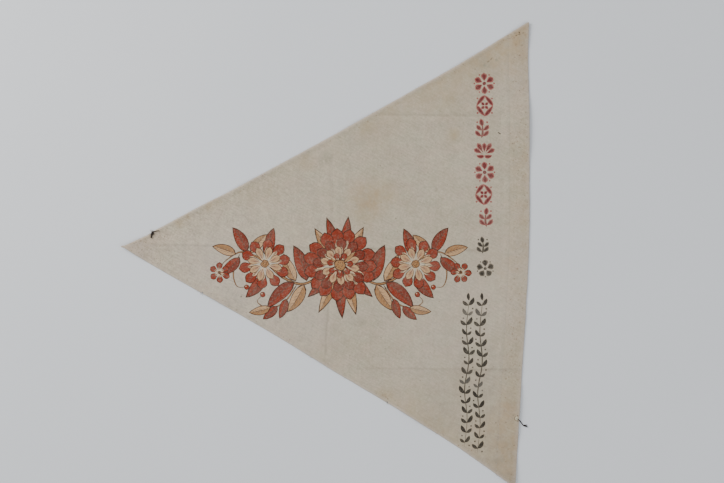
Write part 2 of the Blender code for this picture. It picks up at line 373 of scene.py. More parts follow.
def rumple(point):
    """Soft swells over the whole cloth, and shallow drag lines along its threads."""
    swell = 0.5 + 0.5 * noise.noise((point.x / SWELL_LENGTH, point.y / SWELL_LENGTH, 5))
    turn = Matrix.Rotation(-THREAD_TURN, 2)
    turned = turn @ point
    drag = 1 - abs(noise.noise((turned.x / DRAG_LENGTH, turned.y / DRAG_WIDTH, 2)))
    weight = 0.35 + 0.65 * (0.5 + 0.5 * noise.noise((point.x * 9, point.y * 9, 8)))
    return SWELL_HEIGHT * swell + DRAG_HEIGHT * drag ** 3 * weight


def stepped(depth, *stations):
    """A smooth value between stations of depth and value."""
    if depth <= stations[0][0]:
        return stations[0][1]
    for (low, first), (high, second) in zip(stations, stations[1:]):
        if depth < high:
            way = (depth - low) / (high - low)
            return first + (second - first) * way * way * (3 - 2 * way)
    return stations[-1][1]


def sleeve_height(depth):
    """How thick the cloth stands along the hoist, across the sleeve and its allowance."""
    double = 2 * LAYER + SLEEVE_GAP
    return stepped(depth, (0, double * 0.62), (0.001, double), (0.015, double + SLEEVE_PUFF),
                   (0.0262, double), (SLEEVE_WIDTH, 2 * LAYER - 0.0001), (0.0316, 2 * LAYER),
                   (SLEEVE_WIDTH + SLEEVE_ALLOWANCE - 0.001, 2 * LAYER), (0.0405, LAYER))


def hem_height(depth):
    """How thick the cloth stands across a rolled hem."""
    return stepped(depth, (0, HEM_HEIGHT * 0.55), (0.0009, HEM_HEIGHT), (0.003, HEM_HEIGHT),
                   (HEM_STITCHES, HEM_HEIGHT * 0.66), (0.0055, HEM_HEIGHT * 0.74), (0.0072, LAYER))


def pucker(share, length, away):
    """The small waves that stitching draws up beside its line."""
    if away > PUCKER_LENGTH:
        return 0.0
    wave = 0.5 + 0.5 * math.sin(2 * math.pi * share * length / PUCKER_LENGTH + 3 * math.sin(share * 41))
    return PUCKER_HEIGHT * wave * (1 - away / PUCKER_LENGTH)


def thickness(point):
    """How high the cloth's top stands over its underside."""
    share, depth = HOIST.place(point)
    sleeve = sleeve_height(depth) + pucker(share, HOIST.length, abs(depth - SLEEVE_WIDTH))
    hems = []
    for edge in (UPPER, LOWER):
        share, deep = edge.place(point)
        hems.append(hem_height(deep) + pucker(share, edge.length, abs(deep - HEM_STITCHES)))
    hem = max(hems)
    if depth < SLEEVE_WIDTH + SLEEVE_ALLOWANCE:
        return sleeve + max(hem - LAYER, 0) * HEM_ON_SLEEVE
    return max(sleeve, hem)


def rim_raise(point):
    """How far the underside curls up at the very rim."""
    return stepped(edge_depth(point), (0, RIM_CURL), (0.0009, 0.0))


def top_of(point):
    """The height of the cloth's top."""
    return lift(point) + thickness(point)


def row_inside(edge, depth, over=0.0):
    """A row of points at one depth inside an edge, over both its ends or kept inside the other edges."""
    over /= edge.length
    count = round(edge.length * (1 + 2 * over) / HEM_SPACING)
    row = [edge.at(-over + (1 + 2 * over) * step / count, depth) for step in range(count + 1)]
    others = [other for other in (UPPER, HOIST, LOWER) if other is not edge]
    return [point for point in row
            if over or min(other.place(point)[1] for other in others) > depth + ROW_CLEARANCE]


def crease_rows(start, end, reach):
    """Rows along a crease: its line, and pairs of rows to its feet."""
    run = Vector(end) - Vector(start)
    across = sideways(run.normalized())
    line = straight(start, end, round(run.length / OUTLINE_SPACING))
    rows = []
    for away in CREASE_ROWS + (reach,):
        for side in ((-1, 1) if away else (1,)):
            row = [point + across * side * away for point in line]
            row = [point for point in row if edge_depth(point) > CREASE_MARGIN]
            if len(row) > 1:
                rows.append(row)
    return rows


def guide_rows():
    """Every row of points that the cloth's mesh follows."""
    rows = []
    for edge, depths in ((UPPER, HEM_ROWS), (LOWER, HEM_ROWS), (HOIST, HOIST_ROWS)):
        rows += [row_inside(edge, depth) for depth in depths]
    rows += [row_inside(HOIST, depth, ROW_OVERRUN) for depth in SLEEVE_ROWS]
    for start, end, _, reach, _ in RIDGES + TROUGHS:
        rows += crease_rows(start, end, reach)
    return rows


def open_points(taken):
    """Points of a slightly uneven lattice, on the open cloth between the rows."""
    draw = random.Random(11)
    tree = kdtree.KDTree(len(taken))
    for number, point in enumerate(taken):
        tree.insert((point.x, point.y, 0), number)
    tree.balance()
    points = []
    rise = OPEN_SPACING * math.sqrt(3) / 2
    for line in range(round(HOIST_HEIGHT / rise) + 1):
        for step in range(round(FLY_REACH / OPEN_SPACING) + 2):
            point = Vector((-FLY_REACH / 2 + (step + line % 2 / 2) * OPEN_SPACING,
                            -HOIST_HEIGHT / 2 + line * rise))
            stray = [draw.uniform(-OPEN_UNEVEN, OPEN_UNEVEN) for _ in range(2)]
            point += Vector(stray) * OPEN_SPACING
            nearest = tree.find((point.x, point.y, 0))[2]
            if edge_depth(point) >= RIM_CLEARANCE and nearest > OPEN_SPACING * CLEAR_SHARE:
                points.append(point)
    return points


# Brush strokes, in painting order: outline, pigment and how well it covers.
STROKES = []


def paint(shape, pigment, cover=1.0):
    STROKES.append((shape, pigment, cover))


def offset(middle, angle, away):
    """The point at an angle and a distance from another."""
    return Vector(middle) + Vector((math.cos(angle), math.sin(angle))) * away


def curve_through(points, steps):
    """Points on a smooth curve through the given ones."""
    points = [Vector(point) for point in points]
    points = [2 * points[0] - points[1]] + points + [2 * points[-1] - points[-2]]
    made = []
    for number in range(1, len(points) - 2):
        before, first, second, after = points[number - 1:number + 3]
        for step in range(steps):
            way = step / steps
            made.append(0.5 * (2 * first + (second - before) * way
                               + (2 * before - 5 * first + 4 * second - after) * way ** 2
                               + (3 * first - before - 3 * second + after) * way ** 3))
    return made + [points[-2]]


def bent_line(base, angle, length, bend, steps=8):
    """Points of a line that starts at an angle and turns by the bend along its length."""
    line = [Vector(base)]
    for step in range(steps):
        line.append(offset(line[-1], angle + bend * (step + 0.5) / steps, length / steps))
    return line


def shortened(line, first, last):
    """The part of a line between two shares of its length."""
    count = len(line) - 1
    made = []
    for step in range(7):
        place = (first + (last - first) * step / 6) * count
        number = min(int(place), count - 1)
        made.append(line[number].lerp(line[number + 1], place - number))
    return made


def banks(line, width, belly, blunt):
    """Both sides of a stroke along a line, between its ends."""
    power = math.log(0.5) / math.log(belly)
    last = len(line) - 1
    left, right = [], []
    for number in range(1, last):
        heading = (line[number + 1] - line[number - 1]).normalized()
        side = sideways(heading)
        half = width / 2 * max(math.sin(math.pi * (number / last) ** power) ** 0.75, blunt)
        left.append(line[number] + side * half)
        right.append(line[number] - side * half)
    return left, right


def brush(line, width, pigment, cover=1.0, belly=0.5, blunt=0.0):
    """A stroke along a line, thin at both ends and widest at the belly."""
    left, right = banks(line, width, belly, blunt)
    paint([line[0]] + left + [line[-1]] + right[::-1], pigment, cover)


def shaded_side(line, width, pigment, cover, belly, side):
    """One half of a stroke, from its line to its left or right side."""
    left, right = banks(line, width, belly, 0)
    paint(line + (left if side > 0 else right)[::-1], pigment, cover)


def dot(middle, radius, pigment, cover=1.0, sides=8, uneven=0.12):
    """A dab of the brush's tip, or a blot."""
    draw = random.Random(round(middle[0] * 1e5) * 7 + round(middle[1] * 1e5))
    shape = []
    for side in range(sides):
        away = radius * (1 + draw.uniform(-uneven, uneven))
        shape.append(offset(middle, 2 * math.pi * side / sides, away))
    paint(shape, pigment, cover)


def dab(line, width, colours, belly=0.5):
    """A short stroke: a thin rim that has bled into the cloth, round a fuller core."""
    rim, core = colours
    brush(line, width, rim, 0.76, belly)
    brush(shortened(line, 0.1, 0.88), width * 0.56, core, 0.95, belly)


# The garland's line widths, where its petals and leaves are widest, and how far a leaf's veins slant.
CONTOUR = 0.001
PETAL_VEIN = 0.0007
FINE_LINE = 0.0006
HEART_DOT = 0.0008
PETAL_BELLY = 0.66
LEAF_BELLY = 0.42
VEIN_SLANT = 0.75


def petal(base, angle, length, width, fill, draw):
    """An outlined petal with a pale foot and three fine veins."""
    angle += draw.uniform(-0.05, 0.05)
    length *= draw.uniform(0.95, 1.05)
    bend = draw.uniform(-0.25, 0.25)
    vein = BRICK if fill == SAND else DEEP_RED
    line = bent_line(base, angle, length, bend, 7)
    brush(line, width, UMBER, belly=PETAL_BELLY)
    brush(shortened(line, 0.03, 0.96), width - 2 * CONTOUR, fill, belly=PETAL_BELLY)
    brush(shortened(line, 0.04, 0.5), width * 0.34, CREAM, 0.85, belly=0.45)
    brush(shortened(line, 0.1, 0.86), PETAL_VEIN, vein, 0.9)
    for side in (-1, 1):
        fan = bent_line(line[1], angle + side * 0.17, length * 0.66, bend - side * 0.12, 4)
        brush(fan, FINE_LINE, vein, 0.85)


def leaf(base, angle, length, width, fill, draw, bend=0.0):
    """An outlined leaf with one darker half, a midrib and slanting side veins."""
    angle += draw.uniform(-0.06, 0.06)
    dark = BRICK if fill == VERMILION else OCHRE
    line = bent_line(base, angle, length, bend)
    inner = shortened(line, 0.04, 0.95)
    brush(line, width, UMBER, belly=LEAF_BELLY)
    brush(inner, width - 2 * CONTOUR, fill, belly=LEAF_BELLY)
    shaded_side(inner, width - 2 * CONTOUR, dark, 0.97, LEAF_BELLY, 1 if bend < 0 else -1)
    brush(shortened(line, 0.02, 0.93), CONTOUR, UMBER, 0.9)
    count = len(line) - 1
    for number in range(1, count - 1):
        heading = line[number + 1] - line[number]
        turn = math.atan2(heading.y, heading.x)
        reach = width * 0.44 * math.sin(math.pi * (number / count) ** 0.8)
        for side in (-1, 1):
            vein = bent_line(line[number], turn + side * VEIN_SLANT, reach, -side * 0.3, 3)
            brush(vein, FINE_LINE, UMBER, 0.8)


def flower(middle, radius, rings, draw):
    """A full blossom: rings of petals, the outermost painted first, and a dotted heart."""
    covered = [0.5 * ring[1] for ring in rings[1:]] + [0.1]
    for (petals, share, width, fill), foot in zip(rings, covered):
        start = draw.uniform(0, 2 * math.pi)
        for number in range(petals):
            angle = start + 2 * math.pi * number / petals
            petal(offset(middle, angle, radius * foot), angle, radius * (share - foot), width, fill, draw)
    dot(middle, radius * 0.16, UMBER, sides=14)
    dot(middle, radius * 0.135, OCHRE, sides=14)
    for number in range(9):
        away = radius * (0.095 if number % 2 else 0.06)
        dot(offset(middle, 2 * math.pi * number / 9, away), HEART_DOT, UMBER, sides=5)


def berry(middle, radius):
    """A round berry with a contour and a light spot."""
    for reach, pigment in ((radius, UMBER), (radius - HEART_DOT, VERMILION)):
        dot(middle, reach, pigment, sides=12, uneven=0.05)
    dot(Vector(middle) + Vector((-0.3, 0.35)) * radius, radius * 0.26, CREAM, 0.8, sides=6)


# The garland, drawn from the middle of its large flower. Its left half mirrors its right half.
HEART = Vector((0.021, -0.016))
HEART_RADIUS = 0.056
BRANCH = ((0.02, -0.008), (0.054, -0.028), (0.086, -0.018), (0.114, 0.006), (0.146, 0.02), (0.17, 0.008),
          (0.184, -0.008))
TENDRIL = ((0.064, -0.028), (0.084, -0.056), (0.108, -0.064), (0.124, -0.055), (0.117, -0.045))
FAR_TENDRIL = ((0.15, 0.018), (0.16, -0.01), (0.155, -0.031), (0.141, -0.033))
BLOSSOM = (0.113, 0.002)
BLOSSOM_RADIUS = 0.039
END_BLOSSOM = (0.181, -0.011)
END_RADIUS = 0.0165
BERRIES = ((0.116, -0.044, 0.0042), (0.14, -0.033, 0.004))
STEMS = ((TENDRIL, 0.0024), (FAR_TENDRIL, 0.0022), (BRANCH, 0.0042))
STEM_BELLY = 0.25

# Where each leaf of a branch starts, its angle in degrees, length, width, colour and bend.
BRANCH_LEAVES = (
    (0.05, -0.024, 80, 0.058, 0.022, VERMILION, -0.35),
    (0.066, -0.024, 56, 0.046, 0.0175, SAND, 0.3),
    (0.054, -0.028, -68, 0.05, 0.019, SAND, 0.4),
    (0.068, -0.025, -34, 0.058, 0.0205, VERMILION, -0.4),
    (0.081, -0.05, -80, 0.032, 0.014, VERMILION, 0.3),
    (0.094, -0.061, -52, 0.03, 0.0135, VERMILION, 0.3),
    (0.104, -0.063, -24, 0.034, 0.014, SAND, 0.35),
    (0.11, 0.012, 100, 0.046, 0.018, VERMILION, 0.25),
    (0.112, -0.014, -62, 0.046, 0.0185, VERMILION, 0.35),
    (0.134, 0.018, 122, 0.038, 0.016, SAND, 0.3),
    (0.14, 0.019, 70, 0.044, 0.0185, VERMILION, -0.4),
    (0.156, 0.016, 28, 0.038, 0.016, SAND, -0.35),
    (0.15, 0.012, -48, 0.042, 0.017, VERMILION, 0.4),
)

# The leaves that stand out behind the large flower: angle in degrees, length and colour.
HEART_LEAVES = (
    (52, 0.068, SAND), (77, 0.075, VERMILION), (103, 0.075, VERMILION), (128, 0.068, SAND),
    (-46, 0.069, VERMILION), (-68, 0.079, SAND), (-90, 0.081, VERMILION), (-112, 0.079, SAND),
    (-134, 0.069, VERMILION),
)

# The petals of each flower, ring by ring from the outermost: how many, how far out, width and colour.
HEART_PETALS = ((15, 1.0, 0.02, VERMILION), (12, 0.76, 0.016, BRICK), (10, 0.54, 0.012, SAND),
                (7, 0.36, 0.01, VERMILION))
BLOSSOM_PETALS = ((10, 1.0, 0.0165, VERMILION), (8, 0.68, 0.0115, SAND))
END_PETALS = ((6, 1.0, 0.01, VERMILION),)
HEART_LEAF_WIDTH = 0.019


def branch(side, draw):
    """One half of the garland: its stems, leaves, flowers and berries."""
    def out(x, y):
        return HEART + Vector((side * x, y))

    for route, width in STEMS:
        stem = curve_through([out(*point) for point in route], 5)
        brush(stem, width, UMBER, belly=STEM_BELLY, blunt=0.3)
        brush(stem[1:-2], width * 0.4, OCHRE, belly=STEM_BELLY)
    for x, y, angle, length, width, fill, bend in BRANCH_LEAVES:
        angle = math.radians(angle if side > 0 else 180 - angle)
        leaf(out(x, y), angle, length, width, fill, draw, side * bend)
    flower(out(*BLOSSOM), BLOSSOM_RADIUS, BLOSSOM_PETALS, draw)
    flower(out(*END_BLOSSOM), END_RADIUS, END_PETALS, draw)
    for x, y, radius in BERRIES:
        berry(out(x, y), radius)


def garland():
    """A full blossom between two scrolling branches of leaves and flowers."""
    draw = random.Random(29)
    for side in (-1, 1):
        branch(side, draw)
    for angle, length, fill in HEART_LEAVES:
        leaf(HEART, math.radians(angle), length, HEART_LEAF_WIDTH, fill, draw, draw.choice((-0.15, 0.15)))
    flower(HEART, HEART_RADIUS, HEART_PETALS, draw)


def small_blossom(middle, size, colours, petals):
    """Fat dabs of the brush round a dot."""
    for number in range(petals):
        angle = math.pi / 2 + 2 * math.pi * number / petals
        line = bent_line(offset(middle, angle, size * 0.12), angle, size * 0.42, 0.2, 5)
        dab(line, size * 1.95 / petals, colours, 0.62)
        dot(offset(middle, angle + math.pi / petals, size * 0.49), size * 0.045, colours[0], 0.85, 6)
    dot(middle, size * 0.095, colours[1], 0.9)


def small_lozenge(middle, size, colours):
    """Four strokes round a cross of dabs."""
    corners = [offset(middle, math.pi / 2 * corner, size * (0.4, 0.5)[corner % 2]) for corner in range(4)]
    for first, second in zip(corners, corners[1:] + corners[:1]):
        run = second - first
        line = bent_line(first - run * 0.06, math.atan2(run.y, run.x) - 0.12, run.length * 1.12, 0.24, 6)
        dab(line, size * 0.21, colours, 0.4)
    for number in range(4):
        angle = math.pi / 4 + math.pi / 2 * number
        dab(bent_line(offset(middle, angle, size * 0.02), angle, size * 0.22, 0, 4), size * 0.17, colours)
        dot(offset(middle, angle, size * 0.51), size * 0.05, colours[0], 0.85, 6)


def small_sprig(middle, size, colours, side):
    """A bent stem with two pairs of leaves, one leaf at its end and a dab to either side of that."""
    foot = Vector(middle) + Vector((-side * 0.12, -0.52)) * size
    stem = bent_line(foot, math.pi / 2 - side * 0.32, size * 0.8, side * 0.62, 8)
    brush(stem, size * 0.11, colours[1], 0.85, belly=0.3)
    for turn in (-1, 1):
        for number, length in ((1, 0.46), (4, 0.42)):
            line = bent_line(stem[number], math.pi / 2 + turn * 1.2, size * length, -turn * 0.75, 5)
            dab(line, size * 0.22, colours, 0.6)
        dot(offset(stem[7], math.pi / 2 + turn * 1.15, size * 0.27), size * 0.05, colours[0], 0.85, 6)
    dab(bent_line(stem[6], math.pi / 2 + side * 0.2, size * 0.4, 0.1, 5), size * 0.25, colours)


def small_fan(middle, size, colours):
    """Five dabs that spread from a foot, over two curved strokes."""
    foot = Vector(middle) + Vector((0, -0.22)) * size
    for number in range(5):
        angle = math.radians(28 + 31 * number)
        line = bent_line(offset(foot, angle, size * 0.08), angle, size * (0.52, 0.6)[number % 2], 0, 5)
        dab(line, size * 0.245, colours, 0.7)
    for side in (-1, 1):
        start = foot + Vector((0, -0.06)) * size
        line = bent_line(start, math.pi / 2 + side * 2.1, size * 0.42, -side * 1.2, 6)
        dab(line, size * 0.2, colours, 0.4)


RED_BRUSH = (CRIMSON, DARK_CRIMSON)
INK_BRUSH = (INK, INK)
RED_COLUMN_X = 0.2372
RED_COLUMN_TOP = 0.2565
RED_COLUMN_STEP = 0.0333
RED_COLUMN_SWAY = 0.0008
SMALL_SIZE = 0.03

# The two larger ornaments in ink: middle and size.
INK_SPRIG = ((0.2372, 0.015), 0.0265)
INK_BLOSSOM = ((0.2387, -0.021), 0.025)

# Each ink vine: its top, the height of its bottom and how far it leans, and then what both have.
VINES = (((0.2348, -0.069), -0.2985, -0.008), ((0.2145, -0.069), -0.289, -0.007))
VINE_BENDS = 5
VINE_SWAY = 0.0026
VINE_STEM = 0.0017
VINE_LEAVES = (0.0115, 0.015)
VINE_DOT = 0.0013


def red_column():
    """Seven small ornaments down the hoist, in crimson."""
    for number in range(7):
        middle = (RED_COLUMN_X + RED_COLUMN_SWAY * math.sin(number * 2.1),
                  RED_COLUMN_TOP - RED_COLUMN_STEP * number)
        if number in (0, 4):
            small_blossom(middle, SMALL_SIZE, RED_BRUSH, 6)
        elif number in (1, 5):
            small_lozenge(middle, SMALL_SIZE, RED_BRUSH)
        elif number in (2, 6):
            small_sprig(middle, SMALL_SIZE, RED_BRUSH, 1 if number == 2 else -1)
        else:
            small_fan(middle, SMALL_SIZE, RED_BRUSH)


def ink_pair():
    """A sprig above a blossom, in ink."""
    small_sprig(*INK_SPRIG, INK_BRUSH, 1)
    small_blossom(*INK_BLOSSOM, INK_BRUSH, 5)


def ink_vine(top, bottom, lean, draw):
    """A thin climbing stem in ink, with leaves in pairs and a few washed-out ones."""
    points = []
    for number in range(VINE_BENDS + 1):
        share = number / VINE_BENDS
        sway = VINE_SWAY * (-1) ** number * (0 < number < VINE_BENDS)
        points.append((top[0] + lean * share + sway, top[1] + (bottom - top[1]) * share))
    stem = curve_through(points, 6)
    brush(stem, VINE_STEM, INK, 0.9, belly=0.4, blunt=0.4)
    for number in range(1, len(stem) - 1, 2):
        side = 1 if number % 4 == 1 else -1
        pigment = PALE_INK if number % 7 == 3 else INK
        size = draw.uniform(*VINE_LEAVES)
        line = bent_line(stem[number], math.pi / 2 - side * 0.95, size, side * 0.75, 5)
        brush(line, size * 0.42, pigment, 0.95)
        line = bent_line(stem[number], math.pi / 2 + side * 1.25, size * 0.8, -side * 0.7, 5)
        brush(line, size * 0.36, pigment, 0.92)
        dot(stem[number] + Vector((side * 0.0062, -0.0046)), VINE_DOT, pigment, 0.9, 6)
    brush(bent_line(stem[0], 1.9, 0.012, -0.5, 6), 0.0048, INK, 0.95)


def ink_vines():
    """Two climbing vines, side by side."""
    draw = random.Random(17)
    for top, bottom, lean in VINES:
        ink_vine(top, bottom, lean, draw)


# Small marks, in millimetres: x, y, radius, colour and cover.
MARKS = (
    (276.0, 181.5, 1.3, RUST, 0.45), (279.0, 166.5, 1.6, RUST, 0.4), (280.7, 141.0, 1.2, RUST, 0.4),
    (-127.4, -63.0, 1.5, INK, 0.7), (-131.0, -60.5, 0.8, INK, 0.35), (169.7, -70.5, 1.0, RUST, 0.5),
    (88.7, -141.0, 1.0, INK, 0.45), (-31.4, -99.0, 0.9, INK, 0.4), (54.0, -102.0, 1.4, MOULD, 0.55),
    (283.4, 331.8, 1.9, UMBER, 0.26), (275.6, 323.6, 1.3, RUST, 0.4), (298.6, 328.6, 1.8, RUST, 0.3),
    (293.8, 313.9, 1.7, UMBER, 0.28), (284.6, 315.0, 1.4, UMBER, 0.22), (255.8, 291.8, 2.6, MOULD, 0.62),
    (260.1, 294.4, 2.0, MOULD, 0.4), (237.6, 283.4, 2.8, MOULD, 0.6), (244.2, 281.8, 2.2, MOULD, 0.36),
    (267.6, 285.2, 2.2, MOULD, 0.3), (205.7, 197.3, 0.9, INK, 0.36),
    (82.6, 78.0, 1.1, RUST, 0.35), (104.7, 54.2, 1.4, INK, 0.4), (107.0, 35.0, 0.8, RUST, 0.4),
    (-222.6, 48.6, 1.0, RUST, 0.4), (-206.9, 56.6, 1.1, RUST, 0.42), (-178.6, 71.8, 1.0, RUST, 0.4),
    (84.8, -211.0, 2.1, RUST, 0.24), (90.1, -213.8, 1.6, RUST, 0.28), (103.7, -219.0, 1.5, MOULD, 0.4),
    (-24.0, 66.0, 0.8, RUST, 0.3), (130.0, 113.0, 0.7, INK, 0.35), (188.0, 214.0, 0.9, MOULD, 0.6),
    (251.0, -168.0, 1.0, RUST, 0.35), (145.0, -36.0, 0.8, RUST, 0.3), (8.0, -186.0, 1.0, RUST, 0.4),
)

# Short dashes of ink and dirt, in millimetres: start, end, width, colour and cover.
DASHES = (
    ((257.2, 183.6), (262.4, 180.2), 2.0, INK, 0.85), ((289.0, 334.2), (289.9, 330.9), 1.9, DIRT, 0.95),
    ((287.0, 329.8), (291.8, 330.1), 1.3, DIRT, 0.72), ((293.4, 331.6), (297.2, 332.4), 1.5, DIRT, 0.5),
    ((283.4, 327.4), (286.6, 328.8), 1.7, DIRT, 0.66), ((270.8, 328.0), (274.2, 327.6), 1.6, DIRT, 0.46),
    ((271.2, 324.0), (273.9, 324.9), 1.4, DIRT, 0.42), ((289.4, 323.2), (289.8, 316.4), 1.2, DIRT, 0.22),
    ((246.0, 291.2), (249.7, 295.8), 2.2, DIRT, 0.52), ((241.2, 288.0), (245.6, 291.0), 2.3, DIRT, 0.48),
)

# The ring beside the hoist: a painted highlight where the thread loop lies, a painted shadow in an arc to
# its left, and two dark spots.
RING = (0.2858, -0.2455)
RING_RADIUS = 0.0034
LOOP_SHADOW_LINE = 0.0016
RING_SPOT = 0.0012

# Where rust specks are strewn: edge, first and last share, how far in, and how many.
SPECKLED = (
    (UPPER, 0.01, 0.11, 0.026, 34), (LOWER, 0.9, 0.99, 0.024, 30),
    (UPPER, 0.12, 0.98, 0.01, 46), (LOWER, 0.05, 0.88, 0.008, 38),
    (HOIST, 0.02, 0.98, 0.026, 190), (HOIST, 0.8, 0.99, 0.05, 16),
)
SPECK_INSIDE = 0.0016
SPECK_RADII = (0.0006, 0.0012)
SPECK_COVERS = (0.16, 0.48)
MARK_UNEVEN = 0.3


def marks():
    """Dots and blots, each darker in its middle, the dashes, and the ring: a painted highlight under the
    loop, a painted shadow beside it and two spots.
    """
    for x, y, radius, colour, cover in MARKS:
        middle = (x / 1000, y / 1000)
        dot(middle, radius / 1000, colour, cover * 0.5, 9, MARK_UNEVEN)
        dot(middle, radius / 1600, colour, cover, 7, MARK_UNEVEN)
    for start, end, width, colour, cover in DASHES:
        line = [point / 1000 for point in straight(start, end, 4)]
        brush(line, width / 1000, colour, cover)
    # Painted highlight under the loop, and painted shadow in an arc to its left.
    dot(RING, RING_RADIUS * 0.8, LOOP_HIGHLIGHT, 0.75, 10)
    loop_shadow = [offset(RING, math.radians(95 + 24 * number), RING_RADIUS) for number in range(9)]
    brush(loop_shadow, LOOP_SHADOW_LINE, UMBER, 0.46, blunt=0.4)
    for angle in (72, -68):
        dot(offset(RING, math.radians(angle), RING_RADIUS * 1.25), RING_SPOT, UMBER, 0.58, 6)


def specks():
    """Small rust specks, strewn along the hems, on the sleeve and at the point."""
    draw = random.Random(53)
    for edge, first, last, reach, count in SPECKLED:
        for _ in range(count):
            place = edge.at(draw.uniform(first, last), draw.uniform(SPECK_INSIDE, reach))
            colour = draw.choice((RUST, RUST, UMBER))
            dot(place, draw.uniform(*SPECK_RADII), colour, draw.uniform(*SPECK_COVERS), 5, MARK_UNEVEN)


def paint_cloth():
    """Every stroke on the cloth, in the order in which it went on."""
    garland()
    red_column()
    ink_pair()
    ink_vines()
    marks()
    specks()


def leftwards(shape):
    """The shape's points in the order that keeps its inside on the left."""
    area = sum(first.cross(second) for first, second in zip(shape, shape[1:] + shape[:1]))
    return shape if area > 0 else shape[::-1]


def cloth_plan():
    """The cloth seen from above: points, triangles, and for each triangle the stroke that shows."""
    points = leftwards(OUTLINE)
    lines = []
    for row in guide_rows():
        first = len(points)
        points += row
        lines += [(first + step, first + step + 1) for step in range(len(row) - 1)]
    shapes = [list(range(len(OUTLINE)))]
    for shape, _, _ in STROKES:
        shapes.append(list(range(len(points), len(points) + len(shape))))
        points += leftwards(shape)
    points += open_points(points)
    points, _, faces, _, _, sources = delaunay_2d_cdt(points, lines, shapes, 0, SAME_POINT)
    kept = [(face, max(source)) for face, source in zip(faces, sources) if 0 in source]
    return points, [face for face, _ in kept], [stroke - 1 for _, stroke in kept]


def in_sleeve(face, points):
    """Whether a triangle lies over the slit between the sleeve's two layers."""
    middle = sum((points[corner] for corner in face), Vector((0, 0))) / 3
    return SLIT_OUTER < HOIST.place(middle)[1] < SLIT_INNER


# Round patches in millimetres: x, y, reach and strength. They are cloth browned by age, mould, grey grime
# that is partly painted shade towards the lower end of the hoist, and paler places, partly cloth that has
# stayed or been worn paler and partly painted light towards the lower left and beside the lower fold.
STAINS = (
    (74, 86, 21, 0.34), (56, 74, 22, 0.24), (93, 95, 18, 0.18), (50, 94, 21, 0.2), (64, 56, 17, 0.22),
    (304, 349, 50, 0.36), (265, 320, 30, 0.2), (283, -345, 85, 0.34), (290, -245, 45, 0.16),
    (260, 290, 36, 0.16), (-300, 12, 36, 0.34), (-266, 18, 14, 0.14), (308, 150, 30, 0.16),
    (310, 60, 40, 0.12), (215, 290, 50, 0.26), (155, 256, 40, 0.24), (59, 189, 12, 0.3),
    (95, 215, 40, 0.16), (-30, 137, 14, 0.24), (-222, 50, 8, 0.42), (-207, 57, 6, 0.4),
    (-178, 72.5, 7, 0.36), (120, -236, 30, 0.26), (87, -212, 12, 0.4), (191, 180, 9, 0.42),
    (185, 234, 8, 0.26), (268, -232, 12, 0.24), (245, -262, 22, 0.18), (165, -265, 34, 0.24),
    (274, -296, 22, 0.16), (-170, 83, 10, 0.3), (5, -138, 26, 0.12), (-90, 93, 30, 0.12),
    (262, -20, 30, 0.26),
)
MOULDS = (
    (-1.4, 144, 11.5, 0.42), (4, 142, 6, 0.3), (54, -102, 8, 0.34), (240, 288, 8.5, 0.34),
    (185, 234, 5, 0.25), (195, 170, 5.5, 0.34), (278, 156, 12, 0.16), (-127, -62, 6, 0.22),
)
# Grime, and painted shade where the cloth darkens towards the lower end of the hoist.
GRIMES_AND_PAINTED_SHADE = (
    (285, -335, 70, 0.42), (227, -198, 58, 0.28), (170, -245, 40, 0.14), (304, 330, 26, 0.1),
    (62, 88, 28, 0.08), (40, -90, 50, 0.08), (240, -148, 36, 0.1),
)
# Partly paler cloth, partly painted light: lighter towards the lower left and on the lit side of the lower
# fold.
PALE_PATCHES_AND_POOLS_OF_LIGHT = (
    (-135, -35, 90, 0.44), (-8, -115, 30, 0.18), (-50, -100, 60, 0.3), (297, -5, 64, 0.28),
    (170, -130, 70, 0.26), (215, -35, 40, 0.24), (296, 258, 44, 0.34), (293, -90, 50, 0.22),
    (-290, 8, 36, 0.66), (-175, -10, 42, 0.3),
)
EDGE_BROWNING = ((UPPER, 0.1, 0.011), (LOWER, 0.08, 0.007), (HOIST, 0.16, 0.011))
SLEEVE_BROWNING = 0.11
RIM = 0.0042
# How strong the painted highlight along the rim is.
RIM_HIGHLIGHT = 0.85
STITCH_DIRT = 0.05
STITCH_DIRT_WIDTH = 0.001
SHOW_THROUGH = 0.22


def strewn(point, patches, power=2):
    """How strongly the patches of a table tell at a point."""
    place = point * 1000
    total = 0.0
    for x, y, reach, most in patches:
        away = math.hypot(place.x - x, place.y - y) / reach
        total += most * math.exp(-away ** power)
    return total


def browned(point):
    """How far age and damp have browned the cloth. The browning fades out at the very rim, under the
    painted highlight there.
    """
    brown = strewn(point, STAINS)
    for edge, most, reach in EDGE_BROWNING:
        depth = max(edge.place(point)[1], 0)
        brown += most * math.exp(-depth / reach) * min(depth / RIM, 1)
    if HOIST.place(point)[1] < SLEEVE_WIDTH:
        brown += SLEEVE_BROWNING
    return min(brown, 1)


def dirt_and_painted_shade(point):
    """How dark the grime and the painted shade are: painted shade along the fold lines and towards the
    lower end of the hoist, grime, and the dirt of the sleeve's stitching.
    """
    line = STITCH_DIRT * max(1 - abs(HOIST.place(point)[1] - SLEEVE_WIDTH) / STITCH_DIRT_WIDTH, 0)
    # Painted shade: a dark line along each fold.
    for start, end, _, _, dark in RIDGES + TROUGHS:
        across, taper = crease_place(point, start, end)
        line = max(line, dark * taper * max(1 - across / CREASE_LINE, 0))
    return min(line + strewn(point, GRIMES_AND_PAINTED_SHADE), 1)


def age_and_painted_light(point):
    """Age and painted light at a point: browning, mould, dirt with painted shade, and how pale the rim and
    some patches are, from a painted highlight, painted light and paler cloth.
    """
    # Painted highlight along the rim.
    rim = max(1 - max(edge_depth(point), 0) / RIM, 0) * RIM_HIGHLIGHT
    green = min(strewn(point, MOULDS, 4), 1)
    return browned(point), green, dirt_and_painted_shade(point), max(rim, strewn(point, PALE_PATCHES_AND_POOLS_OF_LIGHT))


